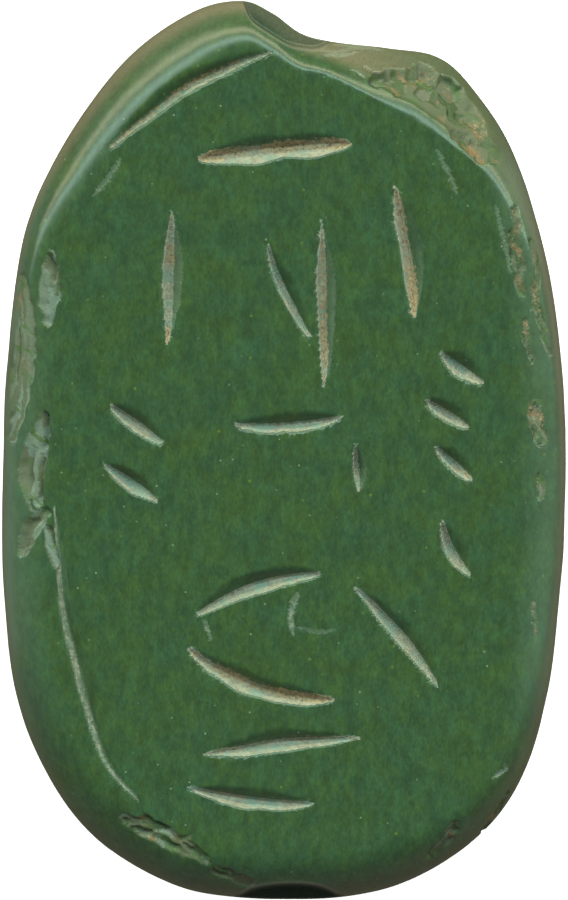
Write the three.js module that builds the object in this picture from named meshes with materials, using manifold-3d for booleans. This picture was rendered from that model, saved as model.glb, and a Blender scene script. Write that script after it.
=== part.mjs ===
// Scarab seal of green stone, carved as one piece: a flat face with rows of shallow strokes, a rounded and
// chipped rim, a beetle's back with its legs along the sides, and a stringing hole drilled from end to end.
// It lies on its back with the engraved face up. Millimetres; +Z is up and +Y runs towards the beetle's head.
import * as THREE from "three";
import { mergeVertices } from "three/addons/utils/BufferGeometryUtils.js";
import Module from "manifold-3d";

const wasm = await Module();
wasm.setup();

// Overall size
const LENGTH = 18;
const WIDTH = 11.3;
const HEIGHT = 7.4;

// Levels, measured down from the engraved face
const RIM_DROP = 1.2;
const PLATE_THICKNESS = 2.1;
const LEG_BAND = 1.8;

// The sides: the rounded rim, how far the plate's foot, the groove under the plate and the legs stand in from
// the outline, and how far the legs stand out from the edge of the back
const RIM_WIDTH = 1;
const PLATE_FOOT_INSET = 0.1;
const PLATE_GROOVE_INSET = 0.42;
const LEG_INSET = 0.12;
const LEG_RELIEF = 0.5;
const LEG_BEVEL = 0.55;

// The beetle's back
const BACK_SIDE_INSET = 0.6;
const BACK_HEAD_INSET = 1;
const BACK_TAIL_INSET = 0.55;
const BACK_SQUARENESS = 2.35;
const REST_LENGTH = 5.6;
const REST_WIDTH = 3.4;
const DOME_FULLNESS = 2.3;
const PRONOTUM_LENGTH = 3.9;
const HEAD_LENGTH = 2.8;
const HEAD_WIDTH = 5.4;
const HEAD_THINNING_DEPTH = 0.5;
const HEAD_SLOPE_LENGTH = 1.1;
const EYE_DIAMETER = 1.2;
const EYE_HEIGHT = 0.3;

// Lines carved in the back and between the legs
const BACK_LINE_WIDTH = 0.42;
const BACK_LINE_DEPTH = 0.24;
const WAIST_LINE_BOW = 0.4;
const NECK_LINE_BOW = -0.1;
const SHOULDER_LINE_LENGTH = 1.4;
const CLYPEUS_LINES = 3;
const CLYPEUS_LINE_LENGTH = 1;
const CLYPEUS_LINE_PITCH = 0.95;
const LEG_LINE_WIDTH = 0.6;
const LEG_LINE_DEPTH = 0.34;

// The stringing hole, and the hollows that a cord has worn at its mouths
const BORE_DIAMETER = 1.6;
const BORE_OFFSET = 0.25;
const BORE_DEPTH = 2.3;
const MOUTH_WIDTH = 2.2;
const MOUTH_HEIGHT = 2.8;
const MOUTH_WEAR_DEPTH = 0.45;
const MOUTH_OFFSET = 0.4;

// Strokes and the border line on the face, and the longest chip in its rim
const STROKE_WIDTH = 0.3;
const STROKE_DEPTH = 0.2;
const BORDER_WIDTH = 0.42;
const BORDER_DEPTH = 0.2;
const CHIP_LENGTH = 2.7;
const CHIP_UNEVENNESS = 0.16;

// A groove's ends: their share of its width, and how bluntly it narrows to them
const GROOVE_END_SHARE = 0.25;
const GROOVE_END_POWER = 0.4;

// Fineness of the mesh
const SPOKES = 96;
const RIM_RINGS = 4;
const DOME_RINGS = 7;
const LINE_STEPS = 6;
const OUTLINE_STEPS = 12;
const BORE_SIDES = 24;
const LUMP_DETAIL = 1;

const HALF_LENGTH = LENGTH / 2;
const HALF_WIDTH = WIDTH / 2;
const PLATE_LEVEL = HEIGHT - PLATE_THICKNESS;
const BACK_LEVEL = PLATE_LEVEL - LEG_BAND;
const BACK_HALF_WIDTH = HALF_WIDTH - BACK_SIDE_INSET;
const BACK_FRONT = HALF_LENGTH - BACK_HEAD_INSET;
const BACK_REAR = HALF_LENGTH - BACK_TAIL_INSET;
const NECK = BACK_FRONT - HEAD_LENGTH;
const WAIST = NECK - PRONOTUM_LENGTH;
const TURN = 2 * Math.PI;
const QUARTER = TURN / 4;

// The worn outline, clockwise as the face is seen from above, starting at the head: x in half widths, y in
// half lengths, and the width of the rounded rim there as a share of RIM_WIDTH
const OUTLINE = [
  [-0.156, 1.0, 1.0],
  [-0.043, 0.973, 0.95],
  [0.057, 0.929, 0.8],
  [0.163, 0.911, 0.75],
  [0.365, 0.895, 1.1],
  [0.553, 0.873, 1.4],
  [0.681, 0.795, 1.2],
  [0.809, 0.666, 0.8],
  [0.915, 0.465, 0.42],
  [0.979, 0.232, 0.35],
  [1.0, -0.024, 0.32],
  [0.986, -0.269, 0.36],
  [0.936, -0.537, 0.5],
  [0.84, -0.737, 0.65],
  [0.674, -0.871, 0.8],
  [0.436, -0.964, 0.95],
  [0.181, -1.0, 1.0],
  [-0.156, -1.0, 1.0],
  [-0.401, -0.969, 1.0],
  [-0.663, -0.871, 1.1],
  [-0.83, -0.737, 1.1],
  [-0.947, -0.559, 0.9],
  [-0.996, -0.314, 0.65],
  [-1.0, -0.069, 0.5],
  [-0.986, 0.176, 0.6],
  [-0.929, 0.465, 0.85],
  [-0.794, 0.67, 1.15],
  [-0.567, 0.866, 1.3],
  [-0.333, 0.973, 1.2],
];

// Rows of plain strokes: ends in half widths and half lengths, sideways bow as a share of the stroke's
// length, and width as a share of STROKE_WIDTH
const STROKES = [
  { from: [-0.298, 0.63], to: [0.241, 0.664], bow: 0.03, width: 1.33 },
  { from: [-0.404, 0.528], to: [-0.422, 0.232], bow: 0.015, width: 1.07 },
  { from: [-0.064, 0.452], to: [0.085, 0.247], bow: -0.03, width: 0.73 },
  { from: [0.128, 0.506], to: [0.135, 0.136], bow: 0.01, width: 1 },
  { from: [0.387, 0.581], to: [0.457, 0.292], bow: 0.015, width: 1.13 },
  { from: [-0.617, 0.091], to: [-0.44, 0.007], bow: 0.03, width: 0.9 },
  { from: [-0.645, -0.038], to: [-0.454, -0.127], bow: 0.03, width: 0.9 },
  { from: [-0.17, 0.047], to: [0.206, 0.065], bow: -0.025, width: 0.87 },
  { from: [0.241, 0.01], to: [0.255, -0.096], bow: 0.02, width: 0.67 },
  { from: [0.539, 0.207], to: [0.695, 0.136], bow: 0.035, width: 0.93 },
  { from: [0.496, 0.105], to: [0.645, 0.038], bow: 0.03, width: 0.87 },
  { from: [0.518, -0.002], to: [0.66, -0.078], bow: 0.04, width: 0.87 },
  { from: [0.546, -0.163], to: [0.642, -0.287], bow: -0.04, width: 1 },
  { from: [-0.298, -0.376], to: [0.135, -0.285], bow: 0.09, width: 0.93 },
  { from: [0.234, -0.314], to: [0.532, -0.532], bow: 0.06, width: 0.93 },
  { from: [-0.34, -0.452], to: [0.17, -0.566], bow: -0.08, width: 1.13 },
  { from: [-0.284, -0.686], to: [0.27, -0.65], bow: 0.025, width: 1.07 },
  { from: [-0.34, -0.757], to: [0.099, -0.797], bow: -0.03, width: 1 },
];

// What is left of the line round the face, in half widths and half lengths
const BORDERS = [
  [
    [-0.596, 0.677],
    [-0.461, 0.766],
    [-0.248, 0.851],
    [-0.043, 0.88],
  ],
  [
    [-0.805, -0.143],
    [-0.791, -0.336],
    [-0.741, -0.463],
    [-0.652, -0.693],
    [-0.521, -0.782],
  ],
];

// Chips in the rim: centre in half widths and half lengths, length, width and depth as shares of CHIP_LENGTH,
// and the angle of the length from +X in degrees
const CHIPS = [
  { at: [0.57, 0.735], size: [1, 0.3, 0.17], angle: -42 },
  { at: [-0.86, 0.36], size: [0.56, 0.19, 0.11], angle: 80 },
  { at: [-0.89, -0.02], size: [0.67, 0.22, 0.13], angle: 95 },
  { at: [0.9, 0.3], size: [0.89, 0.13, 0.074], angle: 103 },
  { at: [-0.41, -0.87], size: [0.63, 0.22, 0.13], angle: -32 },
  { at: [0.57, -0.872], size: [0.33, 0.15, 0.074], angle: 35 },
];

// Grooves that part the legs on each flank: where they leave the plate and where they reach the back, along y
// in half lengths
const LEG_LINES = [
  [0.78, 0.62],
  [0.58, 0.44],
  [0.36, 0.16],
  [0.12, 0.0],
  [-0.24, -0.1],
  [-0.56, -0.34],
];

const mix = THREE.MathUtils.lerp;
const { clamp, degToRad, smoothstep } = THREE.MathUtils;

// Outline and profile

function sampleOutline() {
  const scale = new THREE.Vector3(HALF_WIDTH, HALF_LENGTH, RIM_WIDTH);
  const points = OUTLINE.map((row) => new THREE.Vector3(...row).multiply(scale));
  const curve = new THREE.CatmullRomCurve3(points, true, "catmullrom", 0.5);
  const rows = [];
  for (const p of curve.getPoints(OUTLINE.length * OUTLINE_STEPS).slice(1)) {
    rows.push({ angle: Math.atan2(p.y, p.x), radius: Math.hypot(p.x, p.y), rim: p.z });
  }
  rows.sort((a, b) => a.angle - b.angle);
  const [first, last] = [rows[0], rows[rows.length - 1]];
  const before = { ...last, angle: last.angle - TURN };
  const after = { ...first, angle: first.angle + TURN };
  return [before, ...rows, after];
}

const outline = sampleOutline();

function outlineAt(angle) {
  const next = outline.findIndex((row) => row.angle >= angle);
  const [a, b] = [outline[next - 1], outline[next]];
  const share = (angle - a.angle) / (b.angle - a.angle);
  return { radius: mix(a.radius, b.radius, share), rim: mix(a.rim, b.rim, share) };
}

// Radius of an oval with half axes x and y; a power of 2 makes it an ellipse and more makes it squarer
function ovalRadius(angle, x, y, power) {
  return (Math.abs(Math.cos(angle) / x) ** power + Math.abs(Math.sin(angle) / y) ** power) ** (-1 / power);
}

const restRadius = (angle) => ovalRadius(angle, REST_WIDTH / 2, REST_LENGTH / 2, 2);

function backRadius(angle) {
  const reach = Math.sin(angle) > 0 ? BACK_FRONT : BACK_REAR;
  const oval = ovalRadius(angle, BACK_HALF_WIDTH, reach, BACK_SQUARENESS);
  return Math.min(oval, outlineAt(angle).radius - LEG_INSET);
}

// The side at one angle as levels and radii, from the widest part of the rim down to the edge of the back
function sideAt(angle) {
  const { radius } = outlineAt(angle);
  const back = backRadius(angle);
  const legs = Math.min(radius - LEG_INSET, back + LEG_RELIEF);
  const underPlate = Math.min(radius - PLATE_GROOVE_INSET, legs - PLATE_FOOT_INSET);
  return [
    [HEIGHT - RIM_DROP, radius],
    [mix(HEIGHT - RIM_DROP, PLATE_LEVEL, 0.6), radius - PLATE_FOOT_INSET],
    [PLATE_LEVEL, underPlate],
    [PLATE_LEVEL - LEG_BEVEL, legs],
    [BACK_LEVEL + LEG_BEVEL, legs],
    [BACK_LEVEL, back],
  ];
}

function sideRadius(angle, level) {
  const rows = sideAt(angle);
  const next = Math.max(
    rows.findIndex(([z]) => z <= level),
    1,
  );
  const [above, below] = [rows[next - 1], rows[next]];
  return mix(above[1], below[1], (above[0] - level) / (above[0] - below[0]));
}

// Height of the back over the resting flat; the head is carved thinner than the rest
function backHeight(x, y) {
  const angle = Math.atan2(y, x);
  const [inner, outer] = [restRadius(angle), backRadius(angle)];
  const share = clamp((Math.hypot(x, y) - inner) / (outer - inner), 0, 1);
  const dome = 1 - (1 - share ** DOME_FULLNESS) ** (1 / DOME_FULLNESS);
  const thinning = HEAD_THINNING_DEPTH * smoothstep(y, NECK, NECK + HEAD_SLOPE_LENGTH);
  return BACK_LEVEL * dome + thinning * (1 - dome);
}

const at = (angle, radius, z) => new THREE.Vector3(radius * Math.cos(angle), radius * Math.sin(angle), z);

// The body's surface at one angle, from the edge of the face round to the edge of the resting flat
function spoke(angle) {
  const { radius, rim } = outlineAt(angle);
  const points = [];
  for (let i = 0; i < RIM_RINGS; i++) {
    const turn = (i / RIM_RINGS) * QUARTER;
    const level = HEIGHT - RIM_DROP * (1 - Math.cos(turn));
    points.push(at(angle, radius - rim * (1 - Math.sin(turn)), level));
  }
  for (const [level, reach] of sideAt(angle).slice(0, -1)) {
    points.push(at(angle, reach, level));
  }
  const [inner, outer] = [restRadius(angle), backRadius(angle)];
  for (let i = 0; i <= DOME_RINGS; i++) {
    const share = Math.cos((i / DOME_RINGS) * QUARTER) ** (2 / DOME_FULLNESS);
    const point = at(angle, mix(inner, outer, share), 0);
    point.z = backHeight(point.x, point.y);
    points.push(point);
  }
  return points;
}

// Solids

function solidOf(geometry) {
  for (const name of Object.keys(geometry.attributes)) {
    if (name !== "position") geometry.deleteAttribute(name);
  }
  const merged = mergeVertices(geometry, 1e-5);
  const mesh = new wasm.Mesh({
    numProp: 3,
    vertProperties: merged.attributes.position.array,
    triVerts: new Uint32Array(merged.index.array),
  });
  return new wasm.Manifold(mesh);
}

const solidFrom = (vertices, triangles) =>
  solidOf(new THREE.BufferGeometry().setFromPoints(vertices).setIndex(triangles));

function body() {
  const spokes = [];
  for (let i = 0; i < SPOKES; i++) {
    const phase = (i / SPOKES) * TURN;
    spokes.push(spoke(Math.atan2(HALF_LENGTH * Math.sin(phase), HALF_WIDTH * Math.cos(phase))));
  }
  const rings = spokes[0].length;
  const vertices = [new THREE.Vector3(0, 0, HEIGHT), new THREE.Vector3(0, 0, 0), ...spokes.flat()];
  const index = (i, ring) => 2 + (i % SPOKES) * rings + ring;
  const triangles = [];
  for (let i = 0; i < SPOKES; i++) {
    triangles.push(0, index(i, 0), index(i + 1, 0));
    for (let ring = 0; ring < rings - 1; ring++) {
      const [a, b] = [index(i, ring), index(i, ring + 1)];
      const [c, d] = [index(i + 1, ring + 1), index(i + 1, ring)];
      triangles.push(a, b, c, a, c, d);
    }
    triangles.push(1, index(i + 1, rings - 1), index(i, rings - 1));
  }
  return solidFrom(vertices, triangles);
}

// A V-shaped groove with pointed ends, along points and outward normals of the surface
function groove(line, width, depth) {
  const vertices = [];
  const last = line.length - 1;
  line.forEach(({ point, normal }, i) => {
    const along = line[Math.min(i + 1, last)].point.clone().sub(line[Math.max(i - 1, 0)].point);
    const side = along.cross(normal).normalize();
    const taper = mix(GROOVE_END_SHARE, 1, Math.sin((i / last) * Math.PI) ** GROOVE_END_POWER);
    vertices.push(point.clone().addScaledVector(normal, -depth * taper));
    for (const sign of [-1, 1]) {
      const rim = point.clone().addScaledVector(normal, depth * taper);
      vertices.push(rim.addScaledVector(side, sign * width * taper));
    }
  });
  const triangles = [0, 2, 1, 3 * last, 3 * last + 1, 3 * last + 2];
  for (let i = 0; i < 3 * last; i++) {
    const beside = i % 3 === 2 ? i - 2 : i + 1;
    triangles.push(i, beside, i + 3, beside, beside + 3, i + 3);
  }
  return solidFrom(vertices, triangles);
}

const UP = new THREE.Vector3(0, 0, 1);
const onFace = ([x, y]) => new THREE.Vector3(x * HALF_WIDTH, y * HALF_LENGTH, HEIGHT);

function faceGroove(points, width, depth) {
  const curve = new THREE.CatmullRomCurve3(points);
  const line = curve.getPoints(LINE_STEPS).map((point) => ({ point, normal: UP }));
  return groove(line, width, depth);
}

function stroke({ from, to, bow, width }) {
  const [a, b] = [onFace(from), onFace(to)];
  const sideways = UP.clone().cross(b.clone().sub(a)).multiplyScalar(bow);
  return faceGroove([a, a.clone().lerp(b, 0.5).add(sideways), b], width * STROKE_WIDTH, STROKE_DEPTH);
}

function backNormal(x, y) {
  const step = 0.05;
  const dx = (backHeight(x + step, y) - backHeight(x - step, y)) / (2 * step);
  const dy = (backHeight(x, y + step) - backHeight(x, y - step)) / (2 * step);
  return new THREE.Vector3(dx, dy, -1).normalize();
}

// A line carved in the back, given in plan
function backLine(points) {
  const curve = new THREE.CatmullRomCurve3(points.map(([x, y]) => new THREE.Vector3(x, y, 0)));
  const line = curve.getPoints(LINE_STEPS * 2).map(({ x, y }) => ({
    point: new THREE.Vector3(x, y, backHeight(x, y)),
    normal: backNormal(x, y),
  }));
  return groove(line, BACK_LINE_WIDTH, BACK_LINE_DEPTH);
}

// A point of the back at y, across from the middle by a share of the half width there
function across(share, y) {
  const halfWidth = BACK_HALF_WIDTH * (1 - (y / BACK_FRONT) ** BACK_SQUARENESS) ** (1 / BACK_SQUARENESS);
  return [share * halfWidth, y];
}

function backLines() {
  const tail = -BACK_REAR * 0.97;
  const front = BACK_FRONT * 0.97;
  const lines = [
    [[0, WAIST], [0, mix(WAIST, tail, 0.5)], [0, tail]],
    [across(-0.98, WAIST + WAIST_LINE_BOW), [0, WAIST], across(0.98, WAIST + WAIST_LINE_BOW)],
    [across(-0.98, NECK + NECK_LINE_BOW), [0, NECK], across(0.98, NECK + NECK_LINE_BOW)],
  ];
  for (const side of [-1, 1]) {
    const half = (side * HEAD_WIDTH) / 2;
    lines.push([[half, NECK], [half * 0.9, mix(NECK, front, 0.5)], [half * 0.55, front]]);
    const [shoulder, top] = across(0.75 * side, WAIST + WAIST_LINE_BOW / 2);
    lines.push([[shoulder, top], [shoulder * 0.85, top - SHOULDER_LINE_LENGTH]]);
  }
  for (let i = 0; i < CLYPEUS_LINES; i++) {
    const x = (i - (CLYPEUS_LINES - 1) / 2) * CLYPEUS_LINE_PITCH;
    lines.push([[x * 0.85, front - CLYPEUS_LINE_LENGTH], [x, front]]);
  }
  return lines.map(backLine);
}

// A groove between two legs, slanting from the plate down to the back on one flank
function legLine(side, [top, bottom]) {
  const line = [];
  for (let i = 0; i <= LINE_STEPS; i++) {
    const share = i / LINE_STEPS;
    const y = mix(top, bottom, share);
    const angle = Math.atan2(HALF_LENGTH * y, side * HALF_WIDTH * Math.sqrt(1 - y * y));
    const level = mix(PLATE_LEVEL, BACK_LEVEL, share);
    const normal = new THREE.Vector3(Math.cos(angle) / HALF_WIDTH, Math.sin(angle) / HALF_LENGTH, 0);
    line.push({ point: at(angle, sideRadius(angle, level), level), normal: normal.normalize() });
  }
  return groove(line, LEG_LINE_WIDTH, LEG_LINE_DEPTH);
}

function ellipsoid([x, y, z], [length, width, height]) {
  const geometry = new THREE.IcosahedronGeometry(1, LUMP_DETAIL);
  geometry.scale(length / 2, width / 2, height / 2).translate(x, y, z);
  return solidOf(geometry);
}

// A break in the rim: a lump with uneven facets, set in the surface
function chip({ at: place, size, angle }) {
  const [length, width, depth] = size.map((share) => share * CHIP_LENGTH);
  const { x, y } = onFace(place);
  const { radius, rim } = outlineAt(Math.atan2(y, x));
  const outward = clamp((Math.hypot(x, y) - (radius - rim)) / rim, 0, 1);
  const surface = HEIGHT - RIM_DROP * (1 - Math.sqrt(1 - outward ** 2));
  const geometry = new THREE.IcosahedronGeometry(1, LUMP_DETAIL);
  const points = geometry.attributes.position;
  for (let i = 0; i < points.count; i++) {
    const p = new THREE.Vector3().fromBufferAttribute(points, i);
    const lump = 1 + CHIP_UNEVENNESS * Math.sin(7 * p.x + 5 * p.y + 3 * p.z + 11 * size[0]);
    p.multiplyScalar(lump);
    points.setXYZ(i, p.x, p.y, p.z);
  }
  geometry.scale(length / 2, width / 2, depth).rotateZ(degToRad(angle)).translate(x, y, surface);
  return solidOf(geometry);
}

function eyes() {
  const y = NECK + EYE_DIAMETER * 0.75;
  return [-1, 1].map((side) => {
    const x = side * (HEAD_WIDTH / 2 - EYE_DIAMETER * 0.7);
    return ellipsoid([x, y, backHeight(x, y)], [EYE_DIAMETER, EYE_DIAMETER, 2 * EYE_HEIGHT]);
  });
}

function bore() {
  const level = HEIGHT - BORE_DEPTH;
  const radius = BORE_DIAMETER / 2;
  const hole = new THREE.CylinderGeometry(radius, radius, LENGTH + 2 * BORE_DIAMETER, BORE_SIDES);
  hole.translate(BORE_OFFSET, 0, level);
  const mouths = [QUARTER, -QUARTER].map((angle) => {
    const y = Math.sign(angle) * outlineAt(angle).radius;
    const middle = [BORE_OFFSET, y, level + MOUTH_OFFSET];
    return ellipsoid(middle, [MOUTH_WIDTH, 2 * MOUTH_WEAR_DEPTH, MOUTH_HEIGHT]);
  });
  return [solidOf(hole), ...mouths];
}

function seal() {
  const tools = [
    ...STROKES.map(stroke),
    ...BORDERS.map((points) => faceGroove(points.map(onFace), BORDER_WIDTH, BORDER_DEPTH)),
    ...CHIPS.map(chip),
    ...backLines(),
    ...[-1, 1].flatMap((side) => LEG_LINES.map((line) => legLine(side, line))),
    ...bore(),
  ];
  return wasm.Manifold.union([body(), ...eyes()]).subtract(wasm.Manifold.union(tools));
}

function meshOf(name, solid, material) {
  const { numProp, vertProperties, triVerts } = solid.getMesh();
  const positions = new Float32Array((vertProperties.length / numProp) * 3);
  for (let i = 0; i < positions.length / 3; i++) {
    positions.set(vertProperties.subarray(i * numProp, i * numProp + 3), i * 3);
  }
  const geometry = new THREE.BufferGeometry();
  geometry.setAttribute("position", new THREE.BufferAttribute(positions, 3));
  geometry.setIndex(new THREE.BufferAttribute(triVerts, 1));
  geometry.computeBoundingBox();
  const middle = geometry.boundingBox.getCenter(new THREE.Vector3());
  geometry.translate(-middle.x, -middle.y, -geometry.boundingBox.min.z);
  geometry.computeVertexNormals();
  const mesh = new THREE.Mesh(geometry, material);
  mesh.name = name;
  return mesh;
}

const stone = new THREE.MeshStandardMaterial({ color: 0x40603c, roughness: 0.32, metalness: 0 });

const group = new THREE.Group();
group.add(meshOf("scarab_seal", seal(), stone));

export default group;
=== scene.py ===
"""Scarab seal of green stone, lying on its back with the engraved face up.

The seal's smooth form is worked out from its sizes, meshed finely where it is carved, and then cut: rows of
strokes and what is left of a border line on the face, chips in the rim, legs on the sides, and the beetle's
head, pronotum and wing cases underneath. A stringing hole runs from end to end.
"""

import math
from dataclasses import dataclass
from types import SimpleNamespace

import bmesh
import bpy
import numpy as np
from bpy.props import FloatProperty, FloatVectorProperty, PointerProperty
from mathutils.kdtree import KDTree
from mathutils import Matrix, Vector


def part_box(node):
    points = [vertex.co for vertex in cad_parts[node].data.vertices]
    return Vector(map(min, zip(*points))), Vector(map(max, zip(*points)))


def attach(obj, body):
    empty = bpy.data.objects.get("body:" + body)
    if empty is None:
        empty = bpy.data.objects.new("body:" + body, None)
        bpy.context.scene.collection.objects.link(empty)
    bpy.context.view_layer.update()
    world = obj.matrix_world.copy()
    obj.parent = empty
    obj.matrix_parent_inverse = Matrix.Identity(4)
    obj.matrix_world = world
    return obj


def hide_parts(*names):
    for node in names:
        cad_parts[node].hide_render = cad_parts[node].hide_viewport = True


bl_info = {
    "name": "Scarab seal",
    "version": (1, 0, 0),
    "blender": (4, 5, 0),
    "location": "3D View > Sidebar > Scarab seal",
    "description": "Carves a green stone scarab seal and lights it",
    "category": "Mesh",
}

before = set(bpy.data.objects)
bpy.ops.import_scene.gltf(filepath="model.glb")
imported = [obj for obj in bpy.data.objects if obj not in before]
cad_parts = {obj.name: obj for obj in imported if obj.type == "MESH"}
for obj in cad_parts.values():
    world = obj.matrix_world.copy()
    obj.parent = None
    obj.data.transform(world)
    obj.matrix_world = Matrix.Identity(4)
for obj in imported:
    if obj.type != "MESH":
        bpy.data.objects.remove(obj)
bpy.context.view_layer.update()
NODE = "scarab_seal"
MM = 0.001
TURN = 2 * math.pi
QUARTER = math.pi / 2
UP = np.array([0.0, 0.0, 1.0])

# The worn outline, clockwise as the face is seen from above, starting at the head: x in half widths, y in
# half lengths, the width of the rounded rim there as a share of the rim width, and how square the rim's
# section is: 2 makes it a quarter ellipse, less a bevel, more a tighter corner
OUTLINE = [
    (-0.156, 1.0, 1.0, 1.9),
    (-0.043, 0.973, 0.95, 1.8),
    (0.057, 0.929, 0.8, 1.6),
    (0.163, 0.911, 0.75, 1.5),
    (0.365, 0.895, 1.1, 1.35),
    (0.553, 0.873, 1.4, 1.35),
    (0.681, 0.795, 1.2, 1.35),
    (0.809, 0.666, 0.8, 1.6),
    (0.915, 0.465, 0.42, 2.0),
    (0.979, 0.232, 0.35, 2.2),
    (1.0, -0.024, 0.32, 2.3),
    (0.986, -0.269, 0.36, 2.3),
    (0.936, -0.537, 0.5, 2.2),
    (0.84, -0.737, 0.65, 2.1),
    (0.674, -0.871, 0.8, 2.0),
    (0.436, -0.964, 0.95, 2.0),
    (0.181, -1.0, 1.0, 2.0),
    (-0.156, -1.0, 1.0, 2.0),
    (-0.401, -0.969, 1.0, 2.0),
    (-0.663, -0.871, 1.1, 2.0),
    (-0.83, -0.737, 1.1, 2.2),
    (-0.947, -0.559, 0.9, 2.3),
    (-0.996, -0.314, 0.65, 2.6),
    (-1.0, -0.069, 0.5, 3.0),
    (-0.986, 0.176, 0.6, 3.0),
    (-0.929, 0.465, 0.85, 3.0),
    (-0.794, 0.67, 1.15, 2.3),
    (-0.567, 0.866, 1.3, 2.0),
    (-0.333, 0.973, 1.2, 1.9),
]

# Rows of plain strokes: ends in half widths and half lengths, sideways bow as a share of the stroke's
# length, width as a share of the stroke width, and how much dirt is left in it
STROKES = [
    ((-0.298, 0.63), (0.241, 0.664), 0.03, 1.33, 1.0),
    ((-0.404, 0.528), (-0.422, 0.232), 0.015, 1.07, 0.9),
    ((-0.064, 0.452), (0.085, 0.247), -0.03, 0.73, 0.3),
    ((0.128, 0.506), (0.135, 0.136), 0.01, 1.0, 0.8),
    ((0.387, 0.581), (0.457, 0.292), 0.015, 1.13, 1.0),
    ((-0.617, 0.091), (-0.44, 0.007), 0.03, 0.9, 0.3),
    ((-0.645, -0.038), (-0.454, -0.127), 0.03, 0.9, 0.5),
    ((-0.17, 0.047), (0.206, 0.065), -0.025, 0.87, 0.4),
    ((0.241, 0.01), (0.255, -0.096), 0.02, 0.67, 0.4),
    ((0.539, 0.207), (0.695, 0.136), 0.035, 0.93, 0.3),
    ((0.496, 0.105), (0.645, 0.038), 0.03, 0.87, 0.4),
    ((0.518, -0.002), (0.66, -0.078), 0.04, 0.87, 0.5),
    ((0.546, -0.163), (0.642, -0.287), -0.04, 1.0, 0.3),
    ((-0.298, -0.376), (0.135, -0.285), 0.09, 0.93, 0.4),
    ((0.234, -0.314), (0.532, -0.532), 0.06, 0.93, 0.4),
    ((-0.34, -0.452), (0.17, -0.566), -0.08, 1.13, 0.8),
    ((-0.284, -0.686), (0.27, -0.65), 0.025, 1.07, 0.7),
    ((-0.34, -0.757), (0.099, -0.797), -0.03, 1.0, 0.5),
]

# What is left of the line round the face: width, depth and polished slope as shares of the usual ones, how
# much dirt is left in it, how bare it is, and its points in half widths and half lengths
BORDERS = [
    (1.0, 1.0, 1.1, 0.8, 0.66, [
        (-0.61, 0.659), (-0.553, 0.693), (-0.489, 0.728), (-0.365, 0.791), (-0.238, 0.831),
        (-0.121, 0.86), (-0.043, 0.873),
    ]),
    (0.85, 0.5, 0.8, 0.35, 0.6, [
        (-0.816, -0.131), (-0.801, -0.214), (-0.787, -0.336), (-0.741, -0.463), (-0.695, -0.572),
        (-0.631, -0.693), (-0.521, -0.782),
    ]),
]

# Scratches: width and depth in millimetres, how bare they are, and their points in half widths and half
# lengths
SCRATCHES = [
    (0.1, 0.02, 0.45, [(-0.574, 0.644), (-0.621, 0.604), (-0.674, 0.561)]),
    (0.09, 0.015, 0.42, [(0.745, 0.541), (0.777, 0.454), (0.794, 0.388)]),
    (0.09, 0.015, 0.45, [(0.539, 0.661), (0.585, 0.61), (0.613, 0.566)]),
    (0.12, 0.03, 0.55, [(0.053, -0.318), (0.025, -0.361), (0.032, -0.412)]),
    (0.08, 0.01, 0.3, [(0.05, -0.394), (0.121, -0.408), (0.184, -0.403)]),
    (0.1, 0.03, 0.6, [(0.73, -0.731), (0.787, -0.71)]),
    (0.09, 0.02, 0.45, [(0.177, 0.904), (0.255, 0.902), (0.358, 0.889)]),
    (0.1, 0.04, 0.4, [(0.121, 0.889), (0.191, 0.886), (0.245, 0.895), (0.316, 0.893)]),
    (0.09, 0.02, 0.5, [(0.135, 0.878), (0.213, 0.878), (0.262, 0.886)]),
    (0.09, 0.015, 0.5, [(-0.277, -0.381), (-0.255, -0.425)]),
]

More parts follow.
